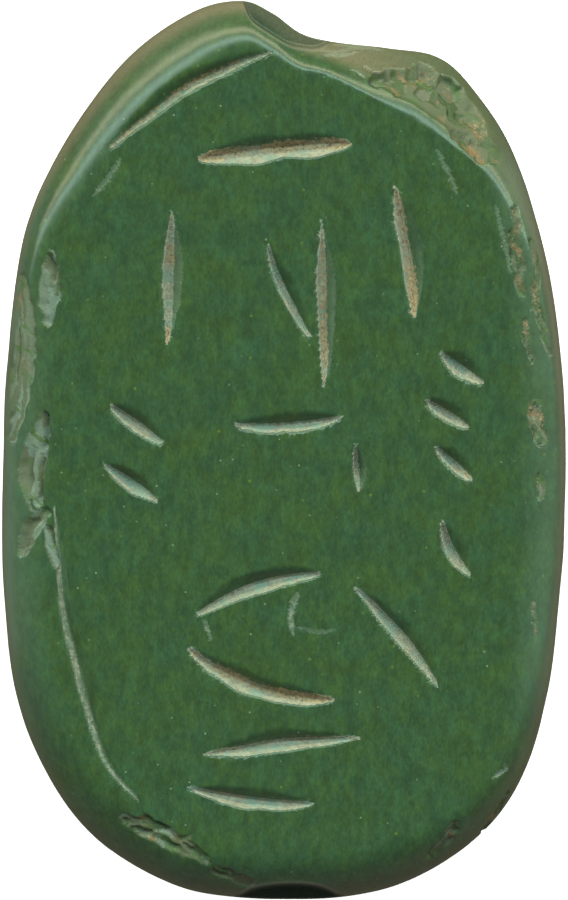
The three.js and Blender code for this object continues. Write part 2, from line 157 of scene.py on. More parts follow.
# Chips in the rim: width and depth as shares of those of the largest; how many flakes broke out; how dirty
# they are; their usual tone, from 0 for dark green to 1 for frosty; and points of the line that they follow,
# in half widths and half lengths
CHIPS = [
    (1.0, 1.0, 17, 0.4, 0.28, [
        (0.333, 0.822), (0.429, 0.815), (0.525, 0.793), (0.61, 0.751), (0.67, 0.699), (0.699, 0.653),
    ]),
    (0.5, 0.9, 5, 0.2, 0.72, [(-0.83, 0.428), (-0.83, 0.365), (-0.837, 0.285)]),
    (0.5, 0.25, 5, 0.3, 0.55, [
        (-0.94, 0.37), (-0.926, 0.32), (-0.918, 0.232), (-0.936, 0.109), (-0.972, 0.033),
    ]),
    (0.6, 1.0, 7, 0.2, 0.74, [(-0.855, 0.073), (-0.869, 0.02), (-0.887, -0.047), (-0.865, -0.116)]),
    (0.5, 0.8, 5, 0.2, 0.72, [(-0.844, -0.14), (-0.897, -0.176), (-0.922, -0.225)]),
    (0.3, 0.45, 3, 0.2, 0.7, [(-0.83, -0.18), (-0.805, -0.252)]),
    (0.24, 0.4, 8, 0.45, 0.22, [
        (0.812, 0.532), (0.823, 0.492), (0.816, 0.445), (0.83, 0.412), (0.826, 0.383), (0.84, 0.345),
    ]),
    (0.22, 0.4, 4, 0.5, 0.3, [(0.858, 0.283), (0.858, 0.247), (0.872, 0.198)]),
    (0.17, 0.35, 9, 0.45, 0.2, [
        (0.869, 0.463), (0.89, 0.399), (0.887, 0.35), (0.901, 0.287), (0.918, 0.254), (0.936, 0.212),
    ]),
    (0.32, 0.4, 5, 0.45, 0.45, [(0.883, 0.098), (0.894, 0.06), (0.911, 0.02)]),
    (0.24, 0.3, 4, 0.45, 0.4, [(0.897, -0.058), (0.904, -0.107)]),
    (0.16, 0.25, 4, 0.4, 0.5, [(0.879, -0.341), (0.89, -0.425)]),
    (0.5, 0.6, 10, 0.3, 0.45, [(-0.567, -0.826), (-0.44, -0.855), (-0.28, -0.909)]),
    (0.34, 0.4, 4, 0.25, 0.4, [(-0.241, -0.933), (-0.121, -0.969)]),
    (0.36, 0.45, 5, 0.4, 0.45, [(0.606, -0.831), (0.567, -0.866), (0.518, -0.898)]),
    (0.16, 0.3, 5, 0.6, 0.2, [(0.794, -0.764), (0.748, -0.808), (0.702, -0.853)]),
    (0.15, 0.2, 3, 0.0, 0.8, [(0.238, 0.844), (0.284, 0.829)]),
    (0.16, 0.35, 1, 0.7, 0.2, [(0.284, 0.849), (0.301, 0.844)]),
]

# Dished wear in the rim over the mouths of the stringing hole: which end, depth below the face, how dark its
# grime is, partly dirt and partly painted shade in the hollow, darkest at the tail, and its inner edge: x in
# half widths and millimetres behind the outline
DISHES = [
    (1, 1.05, 0.35, [
        (-0.15, 0.0), (-0.115, 0.42), (-0.05, 0.5), (0.0, 0.47), (0.06, 0.32), (0.12, 0.22),
        (0.175, 0.0),
    ]),
    (-1, 0.9, 1.0, [(-0.18, 0.0), (-0.1, 0.26), (0.02, 0.36), (0.13, 0.28), (0.215, 0.0)]),
]

# Grooves that part the legs on each flank: where they leave the plate and where they reach the back, along y
# in half lengths
LEG_LINES = [(0.78, 0.62), (0.58, 0.44), (0.36, 0.16), (0.12, 0.0), (-0.24, -0.1), (-0.56, -0.34)]

# A leaning groove's gentle side, as a direction in plan, and how far its deepest line lies off its middle,
# as a share of its width
# The gentle slope so set faces away from the lamps, and lies in shade
GENTLE_SIDE = np.array([0.26, 0.966, 0.0])
LEAN = 0.33

# The least and the most of a flake in a chip: its half length in shares of the flakes' spacing, its half
# width in shares of the chip's width, its depth in shares of the chip's depth, and the share of its pointed
# depth at which a flat floor cuts it off
FLAKE_LENGTHS = (1.5, 2.8)
FLAKE_WIDTHS = (0.15, 0.3)
FLAKE_DEPTHS = (0.45, 1.0)
FLAKE_FLOORS = (0.3, 0.9)

# How strongly each part of the finish covers the stone where its mask is 1. The worn mask is a painted
# bluish sheen on the rim, the lip mask partly a painted highlight, and the grime mask partly painted shade.
COVER = {"worn": 0.22, "bare": 0.45, "chip": 0.85, "dirt": 0.85, "worn_lip_and_highlight": 0.5, "grime_and_shade": 0.74}


def number(name, description, value, unit="NONE"):
    """A property that holds a number, in Blender's own measure of the unit."""
    return FloatProperty(name=name, description=description, default=value, min=0.0, precision=5, unit=unit)


def length(name, description, millimetres):
    """A property that holds a size of the seal, given in millimetres."""
    return number(name, description, millimetres * MM, "LENGTH")


def angle(name, description, degrees):
    """A property that holds an angle, given in degrees."""
    return number(name, description, math.radians(degrees), "ROTATION")


def colour(name, description, value):
    """A property that holds a linear colour."""
    return FloatVectorProperty(
        name=name, description=description, default=value, min=0.0, max=1.0, size=3, subtype="COLOR"
    )


class SealSizes(bpy.types.PropertyGroup):
    """Sizes of the seal below its outline."""

    plate_thickness: length("Plate thickness", "From the face down to the groove under the plate", 2.1)
    rim_width: length("Rim width", "Width of the rounded rim of the face", 1.0)
    rim_drop: length("Rim drop", "From the face down to the widest part of the rim", 1.2)
    plate_foot_inset: length("Plate foot inset", "How far the foot of the plate stands in", 0.1)
    plate_groove_inset: length("Plate groove inset", "How far the groove under the plate stands in", 0.42)
    leg_band: length("Leg band", "Height of the band that holds the legs", 1.8)
    leg_inset: length("Leg inset", "How far the legs stay inside the outline", 0.12)
    leg_relief: length("Leg relief", "How far the legs stand out from the edge of the back", 0.5)
    leg_bevel: length("Leg bevel", "Height of the rounding above and below the legs", 0.55)
    back_side_inset: length("Back side inset", "How far the back stands in at the sides", 0.6)
    back_head_inset: length("Back head inset", "How far the back stands in at the head", 1.0)
    back_tail_inset: length("Back tail inset", "How far the back stands in at the tail", 0.55)
    back_squareness: number("Back squareness", "2 makes the back's plan an ellipse, more a fuller one", 2.35)
    rest_length: length("Rest length", "Length of the worn flat that the seal lies on", 5.6)
    rest_width: length("Rest width", "Width of the worn flat that the seal lies on", 3.4)
    dome_fullness: number("Dome fullness", "2 makes the back's section an ellipse, more a fuller one", 2.3)
    pronotum_length: length("Pronotum length", "Length of the pronotum", 3.9)
    head_length: length("Head length", "Length of the head with its plate", 2.8)
    head_width: length("Head width", "Width of the head", 5.4)
    head_thinning: length("Head thinning", "How much thinner the head is than the pronotum", 0.5)
    head_slope: length("Head slope", "Length of the slope from the pronotum to the head", 1.1)
    eye_diameter: length("Eye diameter", "Diameter of an eye", 1.2)
    eye_height: length("Eye height", "How far an eye stands out", 0.3)
    back_line_width: length("Back line width", "Width of the lines on the back", 0.42)
    back_line_depth: length("Back line depth", "Depth of the lines on the back", 0.24)
    leg_line_width: length("Leg line width", "Width of the grooves between the legs", 0.6)
    leg_line_depth: length("Leg line depth", "Depth of the grooves between the legs", 0.34)
    bore_diameter: length("Bore diameter", "Diameter of the stringing hole", 1.6)
    bore_offset: length("Bore offset", "How far the hole lies to the right of the middle", 0.25)
    bore_depth: length("Bore depth", "From the face down to the axis of the hole", 2.3)
    stroke_width: length("Stroke width", "Usual width of a stroke on the face", 0.26)
    stroke_depth: length("Stroke depth", "Depth of the strokes on the face", 0.25)
    stroke_shoulder: length("Stroke shoulder", "Width of the polished slope beside a stroke", 0.22)
    border_width: length("Border width", "Width of the border line", 0.22)
    border_depth: length("Border depth", "Depth of the border line", 0.24)
    chip_width: length("Chip width", "Width of the broadest chip in the rim", 0.95)
    chip_depth: length("Chip depth", "Depth of the deepest chip in the rim", 0.22)
    fine_edge: length("Fine edge", "Longest mesh edge in the carving", 0.057)
    plain_edge: length("Plain edge", "Longest mesh edge on plain stone", 0.25)


class StoneColours(bpy.types.PropertyGroup):
    """Colours and gloss of the stone."""

    teal: colour("Teal green", "Bluer patches of the stone", (0.025, 0.068, 0.03))
    leaf: colour("Leaf green", "Yellower patches of the stone", (0.036, 0.073, 0.016))
    # Partly the rim's own tone and partly a painted warm sheen towards the head
    olive_and_sheen: colour("Olive", "The stone's colour on its rim", (0.155, 0.14, 0.08))
    cut: colour("Cut stone", "Matt floor of the strokes", (0.27, 0.27, 0.195))
    # Partly frost on cut and broken stone, partly a painted bluish highlight and sheen
    frost_and_sheen: colour("Frosted edge", "Bluish edge of the strokes and chips", (0.19, 0.26, 0.2))
    tan: colour("Tan dirt", "Pale dirt in the strokes", (0.28, 0.2, 0.105))
    rust: colour("Rusty dirt", "Dark dirt in the strokes and chips", (0.08, 0.05, 0.025))
    broken: colour("Broken stone", "Usual colour of the chips", (0.09, 0.103, 0.052))
    amber: colour("Amber stain", "Streaks in the chips", (0.26, 0.155, 0.065))
    speck: colour("Speck", "Tiny pale specks in the stone", (0.16, 0.22, 0.12))
    moss: colour("Moss speck", "Tiny yellow-green specks in the stone", (0.09, 0.14, 0.02))
    # Partly dirt and partly painted shade in the stringing hole and its dished mouths
    grime_and_shade: colour("Grime", "Dark grime in the stringing hole", (0.012, 0.014, 0.008))
    polish: number("Polish roughness", "Roughness of the polished stone", 0.28)
    matt: number("Matt roughness", "Roughness of cut and broken stone", 0.75)


class StageSettings(bpy.types.PropertyGroup):
    """Floor, lights and camera."""

    floor_glow: number("Floor glow", "Light that the floor itself gives", 0.75)
    cool_angle: angle("Cool light angle", "Angle of the cool light from straight up", 35.0)
    warm_angle: angle("Warm light angle", "Angle of the warm light from straight up", 62.0)
    cool_power: number("Cool light power", "Power of the cool light in watts", 38.0, "POWER")
    warm_power: number("Warm light power", "Power of the warm light in watts", 38.0, "POWER")
    cool_tint: colour("Cool tint", "Colour of the cool light", (0.72, 1.0, 0.95))
    warm_tint: colour("Warm tint", "Colour of the warm light", (1.0, 0.92, 0.66))
    sky: number("Sky strength", "Strength of the light from all round", 0.4)
    lens: number("Lens", "Focal length of the camera in millimetres", 500.0, "CAMERA")


def in_millimetres(settings):
    """The settings by name, with lengths turned into millimetres."""
    values = {}
    for prop in settings.bl_rna.properties:
        if prop.identifier not in ("rna_type", "name"):
            scale = MM if prop.unit == "LENGTH" else 1.0
            values[prop.identifier] = getattr(settings, prop.identifier) / scale
    return SimpleNamespace(**values)


# Numbers


def mix(a, b, amount):
    """a where the amount is 0, b where it is 1, and evenly between."""
    return a + (b - a) * amount


def smooth(value, low, high):
    """0 below low and 1 above high, with a smooth rise between."""
    amount = np.clip((value - low) / (high - low), 0, 1)
    return amount * amount * (3 - 2 * amount)


def lumps(points, size, seed):
    """Smooth random heights from -1 to 1 at the points, in bumps of that size."""
    cells = 32
    table = np.random.default_rng(seed).uniform(-1, 1, (cells, cells, cells))
    cell, inside = np.divmod(points / size, 1)
    inside = smooth(inside, 0, 1)
    heights = np.zeros(len(points))
    for corner in np.ndindex(2, 2, 2):
        weights = np.prod(np.where(corner, inside, 1 - inside), axis=1)
        i, j, k = ((cell.astype(int) + corner) % cells).T
        heights += weights * table[i, j, k]
    return heights


def curve_through(points, steps, closed=False):
    """A smooth line through the points, as an array with that many steps between two points."""
    points = np.array(points, float)
    if closed:
        points = np.vstack([points[-1:], points, points[:2]])
    else:
        points = np.vstack([2 * points[0] - points[1], points, 2 * points[-1] - points[-2]])
    t = np.linspace(0, 1, steps, endpoint=False)[:, None]
    line = []
    for a, b, c, d in zip(points, points[1:], points[2:], points[3:]):
        slope = (c - a) / 2
        bend = a - 2.5 * b + 2 * c - d / 2
        twist = 1.5 * (b - c) + (d - a) / 2
        line.append(b + slope * t + bend * t**2 + twist * t**3)
    if not closed:
        line.append(points[-2:-1])
    return np.vstack(line)


def nearest_on(line, points):
    """For each point, its distance from the line, the share of the line's length there, and the offset."""
    steps = np.diff(line, axis=0)
    lengths = np.linalg.norm(steps, axis=1)
    starts = np.concatenate([[0], np.cumsum(lengths)])
    best = np.full(len(points), np.inf)
    along = np.zeros(len(points))
    offset = np.zeros_like(points)
    for a, step, size, start in zip(line, steps, lengths, starts):
        t = np.clip((points - a) @ step / size**2, 0, 1)
        away = points - a - t[:, None] * step
        distance = np.linalg.norm(away, axis=1)
        closer = distance < best
        best[closer] = distance[closer]
        along[closer] = (start + t[closer] * size) / starts[-1]
        offset[closer] = away[closer]
    return best, along, offset


# The seal's smooth form


class SealForm:
    """The seal before anything is cut in it, in millimetres, resting on z 0 with +Y towards the head."""

    def __init__(self, sizes, half_width, half_length, height):
        self.sizes = sizes
        self.half_width = half_width
        self.half_length = half_length
        self.height = height
        self.widest_level = height - sizes.rim_drop
        self.chip_floor = height - 1.5 * sizes.rim_drop
        self.plate_level = height - sizes.plate_thickness
        self.back_level = self.plate_level - sizes.leg_band
        self.back_half_width = half_width - sizes.back_side_inset
        self.back_front = half_length - sizes.back_head_inset
        self.back_rear = half_length - sizes.back_tail_inset
        self.neck = self.back_front - sizes.head_length
        self.waist = self.neck - sizes.pronotum_length
        scale = (half_width, half_length, sizes.rim_width, 1)
        rows = curve_through(np.array(OUTLINE) * scale, steps=40, closed=True)
        self.outline_angle = np.arctan2(rows[:, 1], rows[:, 0])
        self.outline_radius = np.hypot(rows[:, 0], rows[:, 1])
        self.outline_rim = rows[:, 2]
        self.outline_squareness = rows[:, 3]

    def around(self, values, angle):
        """Values known along the outline, at other angles."""
        return np.interp(angle, self.outline_angle, values, period=TURN)

    def outline(self, angle):
        return self.around(self.outline_radius, angle)

    def oval(self, angle, x, y, power):
        return (np.abs(np.cos(angle) / x) ** power + np.abs(np.sin(angle) / y) ** power) ** (-1 / power)

    def rest_radius(self, angle):
        return self.oval(angle, self.sizes.rest_width / 2, self.sizes.rest_length / 2, 2)

    def back_radius(self, angle):
        reach = np.where(np.sin(angle) > 0, self.back_front, self.back_rear)
        oval = self.oval(angle, self.back_half_width, reach, self.sizes.back_squareness)
        return np.minimum(oval, self.outline(angle) - self.sizes.leg_inset)

    def side(self, angle):
        """Levels and radii of the side, from the widest part of the rim down to the edge of the back."""
        sizes = self.sizes
        radius = self.outline(angle)
        back = self.back_radius(angle)
        legs = np.minimum(radius - sizes.leg_inset, back + sizes.leg_relief)
        under_plate = np.minimum(radius - sizes.plate_groove_inset, legs - sizes.plate_foot_inset)
        foot = 0.6
        levels = [
            self.widest_level,
            mix(self.widest_level, self.plate_level, foot),
            self.plate_level,
            self.plate_level - sizes.leg_bevel,
            self.back_level + sizes.leg_bevel,
            self.back_level,
        ]
        return levels, [radius, radius - sizes.plate_foot_inset, under_plate, legs, legs, back]

    def side_radius(self, angle, level):
        levels, radii = self.side(angle)
        for i in range(len(levels) - 1):
            if level >= levels[i + 1]:
                return mix(radii[i], radii[i + 1], smooth(-level, -levels[i], -levels[i + 1]))
        return radii[-1]

    def back_height(self, x, y):
        """Height of the back over the floor; the head is carved thinner than the rest."""
        angle = np.arctan2(y, x)
        inner = self.rest_radius(angle)
        across = np.clip((np.hypot(x, y) - inner) / (self.back_radius(angle) - inner), 0, 1)
        fullness = self.sizes.dome_fullness
        dome = 1 - (1 - across**fullness) ** (1 / fullness)
        thinning = self.sizes.head_thinning * smooth(y, self.neck, self.neck + self.sizes.head_slope)
        return self.back_level * dome + thinning * (1 - dome)

    def surface(self, directions):
        """Points of the surface for unit vectors.

        +Z gives the middle of the face and -Z that of the back. In between, a point lies as far along the
        section from the one to the other as its vector lies along the arc.
        """
        sizes = self.sizes
        angle = np.arctan2(self.half_length * directions[:, 1], self.half_width * directions[:, 0])
        radius = self.outline(angle)
        rim = self.around(self.outline_rim, angle)
        levels, radii = self.side(angle)
        rest = self.rest_radius(angle)
        bulge = 1.12  # How much longer a rounded corner is than a straight line across it
        lengths = [radius - rim, bulge * np.hypot(rim, sizes.rim_drop)]
        for i in range(len(levels) - 1):
            lengths.append(np.hypot(levels[i] - levels[i + 1], radii[i] - radii[i + 1]))
        lengths += [bulge * np.hypot(radii[-1] - rest, self.back_level), rest]
        ends = np.cumsum(lengths, axis=0)
        way = np.arccos(np.clip(directions[:, 2], -1, 1)) / math.pi * ends[-1]
        shares = [np.clip((way - end + size) / size, 0, 1) for end, size in zip(ends, lengths)]

        power = 2 / self.around(self.outline_squareness, angle)
        turn = shares[1] * QUARTER
        reach = (radius - rim) * shares[0] + rim * np.sin(turn) ** power
        level = self.height - sizes.rim_drop * (1 - np.cos(turn) ** power)
        for i in range(len(levels) - 1):
            below = shares[2 + i] > 0
            amount = shares[2 + i]
            reach = np.where(below, mix(radii[i], radii[i + 1], smooth(amount, 0, 1)), reach)
            level = np.where(below, mix(levels[i], levels[i + 1], amount), level)
        under = shares[-2] > 0
        across = np.cos(shares[-2] * QUARTER) ** (2 / sizes.dome_fullness)
        reach = np.where(under, mix(rest, radii[-1], across), reach)
        reach = np.where(shares[-1] > 0, rest * (1 - shares[-1]), reach)
        x, y = reach * np.cos(angle), reach * np.sin(angle)
        level = np.where(under, self.back_height(x, y), level)
        return np.stack([x, y, level], axis=1)

    def raised(self, points):
        """The points, with those of the face and its rim brought up to the level of the face."""
        slightly_under = 1.02
        flat = points.copy()
        flat[points[:, 2] > self.height - slightly_under * self.sizes.rim_drop, 2] = self.height
        return flat

    def behind_outline(self, points):
        """How far the points lie inside the outline, in plan."""
        return self.outline(np.arctan2(points[:, 1], points[:, 0])) - np.hypot(points[:, 0], points[:, 1])

    def on_face(self, place):
        """A point of the face given in half widths and half lengths."""
        return np.array([place[0] * self.half_width, place[1] * self.half_length, self.height])

    def across_back(self, amount, y):
        """A plan point of the back at y, across from the middle by a share of the half width there."""
        power = self.sizes.back_squareness
        half_width = self.back_half_width * (1 - (y / self.back_front) ** power) ** (1 / power)
        return [amount * half_width, y]


# Grooves and chips


@dataclass
class Groove:
    """A groove along a line of points on the smooth form.

    A leaning groove is deepest towards its gentle side, which stays polished. Its steep side is bare stone.
    The gentle slope faces away from the lamps and the steep wall towards them, so keeping the pale bare
    stone off the gentle slope is partly painted shade.
    """

    line: np.ndarray
    width: float
    depth: float
    seed: int
    shoulder: float = 0.0
    lean: float = 0.0
    ragged: float = 0.14
    blunt: float = 0.4
    end_share: float = 0.25
    dirt: float = 0.0
    bare: float = 1.0
    on_face: bool = True

    def reach(self):
        most_uneven = 1.5
        return (self.width * (0.5 + self.lean) + self.shoulder) * (1 + most_uneven * self.ragged)

    def near(self, points, slack=0.0):
        """Which points may lie in the groove."""
        room = self.reach() + slack
        low, high = self.line.min(axis=0), self.line.max(axis=0)
        room = np.broadcast_to(np.asarray(room), len(points))[:, None]
        return np.flatnonzero(np.all((points > low - room) & (points < high + room), axis=1))

    def spread(self, points):
        """For each point: its distance from the line, the same as a share of the groove's reach there, the
        share of its full section that the groove has there, and 1 on the gentle side down to 0 on the steep.
        """
        distance, along, offset = nearest_on(self.line, points)
        taper = mix(self.end_share, 1, np.sin(along * math.pi).clip(0, 1) ** self.blunt)
        uneven = lumps(points, 1.6 * self.width, self.seed)
        uneven += 0.2 * lumps(points, 0.7 * self.width, self.seed + 300)
        side = offset @ GENTLE_SIDE / np.maximum(distance, 1e-6)
        gentle = smooth(side, -0.3, 0.6) * (self.shoulder > 0)
        half = self.width * (0.5 - self.lean * side) + self.shoulder * gentle
        return distance, distance / (half * taper * (1 + self.ragged * uneven)), taper, gentle

    def section(self, points):
        """The depth at the points as a share of the groove's, how bare the stone is and how dirty."""
        distance, spread, taper, gentle = self.spread(points)
        spread = spread.clip(0, 1)
        round_floor, gentle_slope = 1.15, 2.0
        depth = taper * mix((1 - spread**2) ** round_floor, (1 - spread) ** gentle_slope, gentle)
        near_floor = 1 - smooth(distance, 0.08 * self.width, 0.3 * self.width)
        # The pale bare stone is kept off the gentle slope, which faces away from the lamps; this is partly
        # painted shade
        bare = self.bare * smooth(1 - spread, 0.02, 0.12) * mix(1, near_floor, gentle)
        patchy = 0.75 + 0.6 * lumps(points, 0.55, self.seed + 9)
        dirt = self.dirt * patchy * (1 - smooth(distance, 0.15 * self.width, 0.6 * self.width))
        return depth, bare, dirt * smooth(1 - spread, 0.1, 0.3)


@dataclass
class Chip:
    """A break in the rim along a line in plan: overlapping flakes with flat facets and sharp ridges."""

    line: np.ndarray
    width: float
    depth: float
    flakes: int
    dirt: float
    tone: float
    seed: int

    def near(self, points, lowest):
        """Which points above the lowest level may lie in the break."""
        wander = 0.1
        room = 0.6 * self.width + wander
        low, high = self.line[:, :2].min(axis=0) - room, self.line[:, :2].max(axis=0) + room
        inside = np.all((points[:, :2] > low) & (points[:, :2] < high), axis=1)
        return np.flatnonzero(inside & (points[:, 2] > lowest))

    def broken(self, points):
        """The depth at the points, and a tone from 0 to 1 that differs from facet to facet."""
        distance, share, offset = nearest_on(self.line, points * (1, 1, 0))
        way = self.line[-1] - self.line[0]
        span = np.linalg.norm(np.diff(self.line, axis=0), axis=1).sum()
        wander = 0.04
        along = share * span + wander * lumps(points, 0.22, self.seed)
        across = np.copysign(distance, offset @ np.cross(UP, way))
        across = (across + wander * lumps(points, 0.16, self.seed + 7)) / self.width
        random = np.random.default_rng(self.seed)
        pitch = span / self.flakes
        bowl_depth = 0.4 * self.depth * (self.width > 0.4)
        narrowing = np.sin(share * math.pi).clip(0.05, 1) ** 0.5
        depth = bowl_depth * smooth(1 - 2.1 * np.abs(across) / narrowing, 0, 0.4)
        tone = np.full(len(points), self.tone)
        sides, scatter, tilt, tone_spread = 5, 0.36, 0.5, 0.4
        for i in range(self.flakes):
            place = i + 0.5
            a = (along - pitch * place) / (pitch * random.uniform(*FLAKE_LENGTHS))
            room = scatter * math.sin(math.pi * place / self.flakes)
            b = (across - random.uniform(-room, room)) / random.uniform(*FLAKE_WIDTHS)
            b = b + random.uniform(-tilt, tilt) * a
            turn = random.uniform(0, TURN)
            turns = turn + (np.arange(sides) + random.uniform(-0.25, 0.25, sides)) * TURN / sides
            slopes = random.uniform(0.8, 1.25, sides)
            facets = []
            for turn, slope in zip(turns, slopes):
                facets.append(1 - slope * (a * math.cos(turn) + b * math.sin(turn)))
            floor = random.uniform(*FLAKE_FLOORS)
            facets.append(floor * (1 + random.uniform(-tilt, tilt) * a + random.uniform(-tilt, tilt) * b))
            tones = self.tone + random.uniform(-tone_spread, tone_spread, sides + 1)
            flake_depth = self.depth * random.uniform(*FLAKE_DEPTHS)
            flake = flake_depth * np.clip(np.min(facets, axis=0) / floor, 0, 1.5)
            deeper = flake > depth
            tone[deeper] = tones[np.argmin(facets, axis=0)][deeper]
            depth = np.maximum(depth, flake)
        return depth, tone.clip(0, 1)


def leaning_groove(line, width, depth, seed, shoulder, **finish):
    """A groove that is deepest beside the line, so that its bare part stays centred on the line."""
    across = np.cross(UP, line[-1] - line[0])
    across /= np.linalg.norm(across)
    deepest = line + across * (across @ GENTLE_SIDE) * LEAN * width
    return Groove(deepest, width, depth, seed, shoulder, LEAN, **finish)


def face_grooves(form):
    """The strokes, the border line and the scratches of the face."""
    sizes = form.sizes
    grooves = []
    for i, (start, end, bow, width, dirt) in enumerate(STROKES):
        a, b = form.on_face(start), form.on_face(end)
        t = np.linspace(0, 1, 13)[:, None]
        line = mix(a, b, t) + np.cross(UP, b - a) * bow * 4 * t * (1 - t)
        golden = 0.618
        blunt = 0.5 + 0.7 * (golden * i % 1)
        finish = {"ragged": 0.24, "blunt": blunt, "end_share": 0.06, "dirt": dirt}
        width *= sizes.stroke_width
        groove = leaning_groove(line, width, sizes.stroke_depth, i, sizes.stroke_shoulder, **finish)
        grooves.append(groove)
    for seed, (width, depth, shoulder, dirt, bare, places) in enumerate(BORDERS, 51):
        line = curve_through([form.on_face(p) for p in places], steps=6)
        finish = {"blunt": 0.9, "end_share": 0.08, "dirt": dirt, "bare": bare}
        width *= sizes.border_width
        depth *= sizes.border_depth
        shoulder *= sizes.stroke_shoulder
        grooves.append(leaning_groove(line, width, depth, seed, shoulder, **finish))
    for seed, (width, depth, bare, places) in enumerate(SCRATCHES, 60):
        line = curve_through([form.on_face(p) for p in places], steps=5)
        grooves.append(Groove(line, width, depth, seed, ragged=0.35, dirt=0.4, bare=bare))
    return grooves


def back_grooves(form):
    """The lines of the head, pronotum and wing cases."""
    sizes = form.sizes
    tail, front = -0.97 * form.back_rear, 0.97 * form.back_front
    bow, edge = 0.4, 0.98
    plans = [[[0, form.waist], [0, mix(form.waist, tail, 0.5)], [0, tail]]]
    for y, edge_y in ((form.waist, form.waist + bow), (form.neck, form.neck - bow / 4)):
        plans.append([form.across_back(-edge, edge_y), [0, y], form.across_back(edge, edge_y)])
    for side in (-1, 1):
        half = side * sizes.head_width / 2
        plans.append([[half, form.neck], [0.9 * half, mix(form.neck, front, 0.5)], [0.55 * half, front]])
        shoulder, top = form.across_back(0.75 * side, form.waist + bow / 2)
        plans.append([[shoulder, top], [0.85 * shoulder, top - 1.4]])
    for x in (-0.95, 0, 0.95):
        plans.append([[0.85 * x, front - 1], [x, front]])
    grooves = []
    width, depth = sizes.back_line_width, sizes.back_line_depth
    for seed, plan in enumerate(plans, 80):
        plan = curve_through(plan, steps=12)
        line = np.column_stack([plan, form.back_height(plan[:, 0], plan[:, 1])])
        grooves.append(Groove(line, width, depth, seed, dirt=0.35, bare=0.32, on_face=False))
    return grooves


def leg_grooves(form):
    """The slanting grooves that part the legs on both flanks."""
    width, depth = form.sizes.leg_line_width, form.sizes.leg_line_depth
    grooves = []
    for side in (-1, 1):
        for i, (top, bottom) in enumerate(LEG_LINES):
            line = []
            for amount in np.linspace(0, 1, 11):
                y = mix(top, bottom, amount)
                angle = math.atan2(form.half_length * y, side * form.half_width * math.sqrt(1 - y * y))
                level = mix(form.plate_level, form.back_level, amount)
                radius = form.side_radius(angle, level)
                line.append([radius * math.cos(angle), radius * math.sin(angle), level])
            seed = 100 + i + 10 * side
            grooves.append(Groove(np.array(line), width, depth, seed, dirt=0.4, bare=0.32, on_face=False))
    return grooves


def rim_chips(form):
    """The breaks in the rim, each with random draws of its own."""
    sizes = form.sizes
    chips = []
    for i, (width, depth, flakes, dirt, tone, places) in enumerate(CHIPS):
        line = curve_through([form.on_face(p) * (1, 1, 0) for p in places], steps=5)
        width *= sizes.chip_width
        chips.append(Chip(line, width, depth * sizes.chip_depth, flakes, dirt, tone, 200 + 11 * i))
    return chips


# Fine mesh


def ball_of_directions(levels):
    """Unit vectors and triangles of a finely divided icosahedron."""
    mesh = bmesh.new()
    bmesh.ops.create_icosphere(mesh, subdivisions=levels, radius=1)
    directions = np.array([v.co for v in mesh.verts], float)
    triangles = np.array([[v.index for v in face.verts] for face in mesh.faces])
    mesh.free()
    return directions / np.linalg.norm(directions, axis=1)[:, None], triangles


def edges_of(triangles):
    """The mesh's edges, and for each triangle its three edges, from each corner to the next."""
    pairs = np.stack([triangles, np.roll(triangles, -1, axis=1)], axis=2).reshape(-1, 2)
    edges, which = np.unique(np.sort(pairs, axis=1), axis=0, return_inverse=True)
    return edges, which.reshape(-1, 3)


def split_long_edges(directions, triangles, points, too_long):
    """Divides the triangles that have an edge too long. too_long gets the edges' middles and lengths."""
    edges, of_triangle = edges_of(triangles)
    middles = points[edges].mean(axis=1)
    lengths = np.linalg.norm(points[edges[:, 0]] - points[edges[:, 1]], axis=1)
    marked = too_long(middles, lengths)
    if not marked.any():
        return directions, triangles, False
    turn = np.argmax(lengths[of_triangle], axis=1)
    order = (turn[:, None] + np.arange(3)) % 3
    triangles = np.take_along_axis(triangles, order, axis=1)
    of_triangle = np.take_along_axis(of_triangle, order, axis=1)
    while True:
        hit = marked[of_triangle]
        spread = hit.any(axis=1) & ~hit[:, 0]
        if not spread.any():
            break
        marked[of_triangle[spread, 0]] = True
    new = np.full(len(edges), -1)
    new[marked] = len(directions) + np.arange(marked.sum())
    added = directions[edges[marked]].sum(axis=1)
    added /= np.linalg.norm(added, axis=1)[:, None]
    a, b, c = triangles.T
    ab, bc, ca = new[of_triangle].T
    first, second, third = hit.T
    made = [triangles[~first]]
    for chosen, corners in [
        (first & ~second & ~third, [(a, ab, c), (ab, b, c)]),
        (first & second & ~third, [(a, ab, c), (ab, b, bc), (ab, bc, c)]),
        (first & ~second & third, [(ab, b, c), (a, ab, ca), (ab, c, ca)]),
        (first & second & third, [(a, ab, ca), (ab, b, bc), (ca, bc, c), (ab, bc, ca)]),
    ]:
        for corner in corners:
            made.append(np.stack(corner, axis=1)[chosen])
    return np.vstack([directions, added]), np.vstack(made), True


